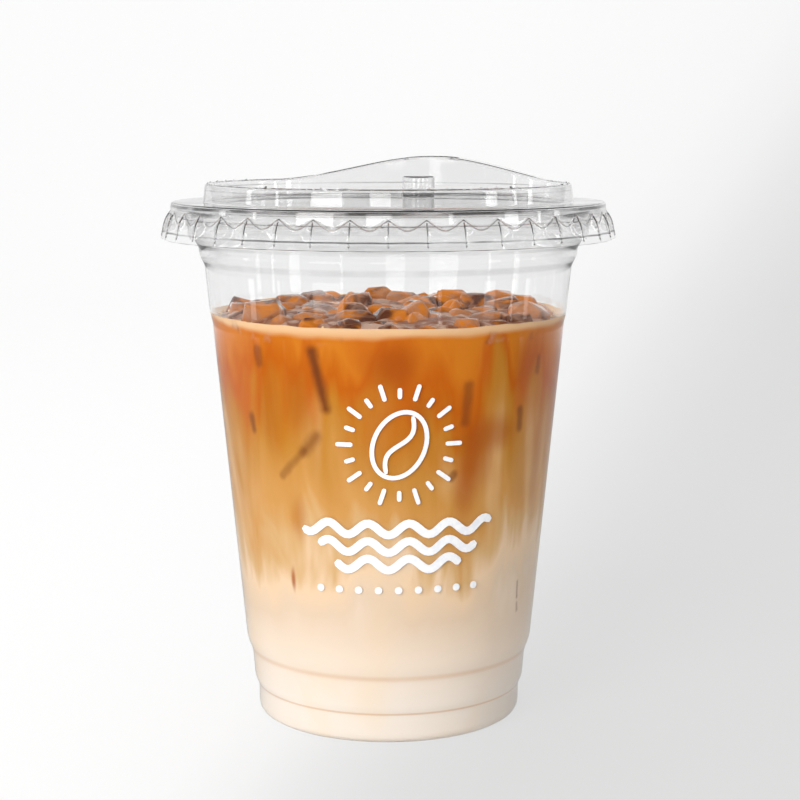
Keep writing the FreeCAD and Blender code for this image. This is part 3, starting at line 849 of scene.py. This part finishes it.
def makeChunk(name, low, high, rng, bevel):
    # a lump of cracked ice that fills a box: flat faces, melted edges
    middle = (Vector(low) + Vector(high)) / 2
    half = (Vector(high) - Vector(low)) / 2
    bm = bmesh.new()
    for k in range(ice["points"]):
        d = Vector((rng.gauss(0, 1), rng.gauss(0, 1), rng.gauss(0, 1))).normalized()
        # between a ball and a box, so that the lump fills its corners a little
        stretch = 1 / max(abs(d.x) ** 3 + abs(d.y) ** 3 + abs(d.z) ** 3, 1e-6) ** (1 / 3)
        out = Vector((d.x * half.x, d.y * half.y, d.z * half.z))
        bm.verts.new(middle + out * stretch * rng.uniform(*ice["depth"]))
    hull = bmesh.ops.convex_hull(bm, input=bm.verts)
    inner = [v for v in hull["geom_interior"] if isinstance(v, bmesh.types.BMVert)]
    bmesh.ops.delete(bm, geom=inner, context="VERTS")
    bmesh.ops.dissolve_limit(bm, angle_limit=radians(ice["flatten"]), verts=bm.verts, edges=bm.edges)
    mesh = bpy.data.meshes.new(name)
    bm.to_mesh(mesh)
    bm.free()
    piece = tidyPiece(name, mesh, coffeeIce)
    piece.data.materials.append(iceEdgeHighlight)
    rounding = piece.modifiers.new("melt", "BEVEL")
    rounding.width = bevel * mm
    rounding.segments = ice["bevelSteps"]
    rounding.limit_method = "NONE"
    # the melted edges take the paler second material, a painted highlight along them
    rounding.material = 1        # the second material, iceEdgeHighlight
    appliedMesh(piece)
    piece.data.shade_smooth()
    return piece


iceRandom = random.Random(ice["seed"])
for node in sorted(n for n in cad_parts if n.startswith("ice_")):
    low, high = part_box(node)
    high = (high[0], high[1], high[2] - ice["melted"] * mm)
    chunk = makeChunk(node + "_chunk", low, high, iceRandom, ice["bevel"])
    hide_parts(node)
    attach(chunk, "root")

inSpiral = ice["fragments"] - ice["outerRing"]
for k in range(ice["fragments"]):
    size = iceRandom.uniform(*ice["fragmentSize"])
    if k < ice["outerRing"]:
        turn = k * 2 * pi / ice["outerRing"]
        share = 1.0
    else:
        turn = (k - ice["outerRing"]) * radians(ice["spiralTurn"])
        share = ((k - ice["outerRing"] + ice["spiralStart"]) / inSpiral) ** 0.5 * ice["spiralReach"]
    reach = (ice["poolRadius"] - size) * share
    level = drink["level"] + iceRandom.uniform(*ice["fragmentLevel"])
    middle = Vector((reach * sin(turn), reach * cos(turn), level))
    width = size * iceRandom.uniform(*ice["fragmentWidth"])
    box = Vector((size, width, size * iceRandom.uniform(*ice["fragmentHeight"])))
    name = "fragment_%02d" % (k + 1)
    chunk = makeChunk(name, (middle - box) * mm, (middle + box) * mm, iceRandom, ice["fragmentBevel"])
    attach(chunk, "root")
print("ice made")


# the white print: a bean in a ring of rays, waves and dots; its heading is in degrees, right of the front
emblem = dict(heading=3.5, proud=0.06, bury=0.04, line=1.0, bold=1.9, endWidth=0.55,
              beanHeight=69.5, beanHalf=(5.6, 7.6), beanLean=24, ovalPoints=48,
              seamSwing=1.5, seamShare=0.92, seamSteps=24,
              rays=20, rayInner=10.2, rayOuter=(12.6, 14.0), rayEnd=0.4,
              waveHeights=(50.6, 46.6, 42.6), waveWidths=(44, 36, 28), waveLength=9.0, waveSwing=1.3,
              waveSteps=60,
              dots=9, dotHeight=36.6, dotGap=4.4, dotRadius=0.85, dotPoints=14,
              pale=(240, 242, 246), white=(250, 250, 251))


def wallPoint(across, z, out):
    # a point on the cup's tapered wall: millimetres to the side of the emblem's middle, height, and how proud
    low, high = cupSide(0.0)[3], cupSide(0.0)[4]        # the ends of the long tapered stretch
    radius = low[0] + (high[0] - low[0]) * (z - low[1]) / (high[1] - low[1])
    turn = radians(emblem["heading"]) + across / radius
    return (radius + out) * sin(turn), -(radius + out) * cos(turn), z


def inkStroke(line, width, closed=False):
    # points and faces of a thin strip of ink along a line of (across, height) points
    count = len(line)
    rows = []
    for k, (across, z) in enumerate(line):
        before = line[k - 1] if closed or k else line[0]
        after = line[(k + 1) % count] if closed or k < count - 1 else line[-1]
        along = Vector((after[0] - before[0], after[1] - before[1])).normalized()
        half = width / 2 * (1 if closed or 0 < k < count - 1 else emblem["endWidth"])
        side = Vector((-along.y, along.x)) * half
        rows.append([wallPoint(across + side.x, z + side.y, emblem["proud"]),
                     wallPoint(across - side.x, z - side.y, emblem["proud"]),
                     wallPoint(across - side.x, z - side.y, -emblem["bury"]),
                     wallPoint(across + side.x, z + side.y, -emblem["bury"])])
    points = [p for row in rows for p in row]
    faces = []
    for k in range(count if closed else count - 1):
        n = (k + 1) % count
        faces += [(4 * k + c, 4 * k + (c + 1) % 4, 4 * n + (c + 1) % 4, 4 * n + c) for c in range(4)]
    if not closed:
        faces += [(0, 1, 2, 3), tuple(4 * (count - 1) + c for c in range(4))]
    return points, faces


def inkPiece(name, strokes):
    piece = meshPiece(name, *gathered(strokes), whiteInk, smooth=False)
    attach(piece, "root")


def inkMaterial():
    material, s = newMaterial("whiteInk")
    place = s.node("ShaderNodeTexCoord", out="Object")
    worn = s.node("ShaderNodeTexNoise", {}, {"Vector": place, "Scale": 900.0, "Detail": 2.0})
    colour = worn.smooth(0.35, 0.65).blend(tone(*emblem["pale"]), tone(*emblem["white"]))
    closeMaterial(s.node("ShaderNodeBsdfPrincipled", {}, {"Base Color": colour, "Roughness": 0.4}), s)
    return material


def leaned(across, up):
    # a point of the bean, leaned to the right about its middle
    lean = radians(emblem["beanLean"])
    return across * cos(lean) + up * sin(lean), emblem["beanHeight"] - across * sin(lean) + up * cos(lean)


def beanStrokes():
    wide, tall = emblem["beanHalf"]
    turns = [2 * pi * k / emblem["ovalPoints"] for k in range(emblem["ovalPoints"])]
    shares = [2 * k / emblem["seamSteps"] - 1 for k in range(emblem["seamSteps"] + 1)]
    oval = [leaned(wide * cos(a), tall * sin(a)) for a in turns]
    seam = [leaned(emblem["seamSwing"] * sin(pi * t), tall * emblem["seamShare"] * t) for t in shares]
    return [inkStroke(oval, emblem["line"], True), inkStroke(seam, emblem["line"])]


def rayStrokes():
    strokes = []
    inner, end = emblem["rayInner"], emblem["rayEnd"]
    for k in range(emblem["rays"]):
        a = 2 * pi * k / emblem["rays"]
        outer = emblem["rayOuter"][k % 2]
        reaches = (inner, inner + end, outer - end, outer)
        line = [(r * sin(a), emblem["beanHeight"] + r * cos(a)) for r in reaches]
        strokes.append(inkStroke(line, emblem["line"]))
    return strokes


def waveStrokes():
    strokes = []
    for z, width in zip(emblem["waveHeights"], emblem["waveWidths"]):
        places = [width * (k / emblem["waveSteps"] - 0.5) for k in range(emblem["waveSteps"] + 1)]
        line = [(x, z + emblem["waveSwing"] * sin(2 * pi * x / emblem["waveLength"])) for x in places]
        strokes.append(inkStroke(line, emblem["bold"]))
    return strokes


def dotStrokes():
    # each dot is a ring as wide as its own radius, so that it closes in its middle
    strokes = []
    small = emblem["dotRadius"] / 2
    turns = [2 * pi * i / emblem["dotPoints"] for i in range(emblem["dotPoints"])]
    for k in range(emblem["dots"]):
        middle = (k - (emblem["dots"] - 1) / 2) * emblem["dotGap"]
        ring = [(middle + small * cos(a), emblem["dotHeight"] + small * sin(a)) for a in turns]
        strokes.append(inkStroke(ring, 2 * small, True))
    return strokes


whiteInk = inkMaterial()
inkPiece("print_bean", beanStrokes())
inkPiece("print_rays", rayStrokes())
inkPiece("print_waves", waveStrokes())
inkPiece("print_dots", dotStrokes())
print("print made")


# a floor that curves up into a backdrop, in metres; it glows with painted light, from bright at the upper
# left to grey at the lower right
stage = dict(width=3.0, back=1.6, front=-1.4, height=2.2, curve=0.6, curveStep=6, shadow=0.12,
             aside=1.25, fall=2.35, start=0.36)
paintedStageLight = ((0.0, 1.0), (0.12, 0.996), (0.38, 0.978), (0.50, 0.962), (0.61, 0.915), (0.71, 0.838),
                (0.80, 0.788), (0.87, 0.760), (0.94, 0.745), (1.0, 0.738))


def makeStage():
    material, s = newMaterial("paleStage")
    place = s.node("ShaderNodeTexCoord", out="Object")
    split = s.node("ShaderNodeSeparateXYZ", {}, {"Vector": place})
    x, y, z = split, split.other("Y") + view["distance"] * mm, split.other("Z") - view["height"] * mm
    # brightness falls off by direction from the camera's place, so that floor and backdrop read as one
    tilt = radians(view["pitchDown"])
    depth = y * cos(tilt) - z * sin(tilt)
    rise = y * sin(tilt) + z * cos(tilt)
    fall = (x * stage["aside"] - rise) / depth * stage["fall"] + stage["start"]
    stops = [(t, (v, v, v, 1)) for t, v in paintedStageLight]
    pale = s.node("ShaderNodeValToRGB", {"stops": stops}, {"Fac": fall})
    # painted light: camera and transmission rays see this glow, and only the shadow share is lit by the lamps
    glow = s.node("ShaderNodeEmission", {}, {"Color": pale, "Strength": 1.0})
    shade = s.node("ShaderNodeBsdfDiffuse", {}, {"Color": pale})
    rays = s.node("ShaderNodeLightPath", out="Is Camera Ray")
    seen = s.math("MAXIMUM", rays, rays.other("Is Transmission Ray"))
    closeMaterial(s.node("ShaderNodeMixShader", {}, {0: seen * (1 - stage["shadow"]), 1: shade, 2: glow}), s)
    bend = stage["curve"]
    curve = arc((stage["back"] - bend, bend), bend, range(-90, 1, stage["curveStep"]))
    path = [(stage["front"], 0.0)] + curve + [(stage["back"], stage["height"])]
    points = [(side * stage["width"], y, z) for y, z in path for side in (-1, 1)]
    faces = [(2 * k, 2 * k + 1, 2 * k + 3, 2 * k + 2) for k in range(len(path) - 1)]
    mesh = bpy.data.meshes.new("stage_sweep")
    mesh.from_pydata(points, [], faces)
    piece = tidyPiece("stage_sweep", mesh, material)
    piece.visible_glossy = False


# windows seen in the plastic: degrees round from the front, width, lowest and highest elevation
windows = ((-38, 20, -17, 22), (-4.5, 13, -15.8, 12), (66, 8, -17, 24), (97, 4, -17, 40), (107, 3, -17, 40),
           (118, 4, -17, 40), (32, 2, -17, 10), (84, 2, -17, 40), (-72, 2, -17, 40),
           (-95, 5, -17, 40), (-108, 3, -17, 40), (-121, 5, -17, 40))
# brightness by direction, where pairs are degrees between which a change comes in; the ground turns dark at
# groundBehind below level, and lower by groundFront in front
studio = dict(windowSoft=0.5, windowGlow=5.0, borderSoft=(2.5, 1.0), borderShade=0.6,
              front=0.82, darkBand=0.72, bandLow=(12, 20), bandHigh=(70, 58),
              groundBehind=6.5, groundFront=10.6, groundSoft=(-0.5, 0.9), groundLeft=0.04,
              behindLow=0.48, behindRise=0.44, ceiling=(24, 36), ceilingShade=0.85, diffuse=0.31)


def windowMasks(s, around, up, middle, width, low, high):
    # the inside of a window, and the dark border round it
    def box(outer, inner):
        # 0 past the outer distance from the window's edge, 1 within the inner one
        sides = across.smooth(width / 2 + outer, width / 2 + inner)
        return sides * up.smooth(low - outer, low - inner) * up.smooth(high + outer, high + inner)

    across = s.math("ABSOLUTE", around - middle)
    return box(studio["windowSoft"], -studio["windowSoft"]), box(*studio["borderSoft"])


def makeWorld():
    world = bpy.data.worlds.new("studio")
    bpy.context.scene.world = world
    world.use_nodes = True
    world.node_tree.nodes.clear()
    s = Sock(world.node_tree)
    way = s.node("ShaderNodeTexCoord", out="Generated")
    split = s.node("ShaderNodeSeparateXYZ", {}, {"Vector": way})
    x, y, z = split, split.other("Y"), split.other("Z")
    around = s.math("ARCTAN2", x, -y) * (180 / pi)      # degrees to the right of the camera's side
    up = s.math("ARCSINE", z) * (180 / pi)
    bright, dark = None, None
    for window in windows:
        inside, border = windowMasks(s, around, up, *window)
        bright = s.math("MAXIMUM", bright, inside) if bright else inside
        dark = s.math("MAXIMUM", dark, border) if dark else border
    # the room in front of the cup is pale, with a dark band high up
    band = up.smooth(*studio["bandLow"]) * up.smooth(*studio["bandHigh"])
    room = studio["front"] - band * studio["darkBand"]
    room = (room - dark * studio["borderShade"] * room) * (1 - bright) + bright * studio["windowGlow"]
    # it is dark so low down that the filled part of the wall mirrors nothing bright
    ground = s.math("COSINE", around * (pi / 360)) * -studio["groundFront"] - studio["groundBehind"]
    above = (up - ground).smooth(*studio["groundSoft"])
    room = room * (above * (1 - studio["groundLeft"]) + studio["groundLeft"])
    # behind the cup it is plain, and the ceiling is dark all round
    behind = y.smooth(0.0, 0.3)
    backRoom = above * studio["behindRise"] + studio["behindLow"]
    ceiling = up.smooth(*studio["ceiling"]) * studio["ceilingShade"]
    allRound = (room * (1 - behind) + behind * backRoom) * (1 - ceiling)
    rays = s.node("ShaderNodeLightPath", out="Is Diffuse Ray")
    diffuse = s.node("ShaderNodeBackground", {}, {"Color": (1, 1, 1, 1), "Strength": studio["diffuse"]})
    mirror = s.node("ShaderNodeBackground", {}, {"Color": (1, 1, 1, 1), "Strength": allRound})
    shader = s.node("ShaderNodeMixShader", {}, {0: rays, 1: mirror, 2: diffuse})
    output = s.tree.nodes.new("ShaderNodeOutputWorld")
    s.tree.links.new(shader.socket, output.inputs["Surface"])


def areaLight(name, place, target, size, power):
    data = bpy.data.lights.new(name, "AREA")
    data.size = size
    data.energy = power
    light = bpy.data.objects.new(name, data)
    light.location = place
    light.rotation_euler = (Vector(target) - Vector(place)).to_track_quat("-Z", "Y").to_euler()
    light.visible_glossy = False
    light.visible_transmission = False
    bpy.context.scene.collection.objects.link(light)


makeStage()
makeWorld()
areaLight("key", place=(-0.60, -1.05, 0.65), target=(0, 0, 0.05), size=0.8, power=12.2)
areaLight("fill", place=(1.0, -0.6, 0.5), target=(0, 0, 0.06), size=0.8, power=0.3)
areaLight("top", place=(0.0, 0.2, 1.1), target=(0, 0, 0.06), size=0.9, power=3.6)
print("stage and light set")
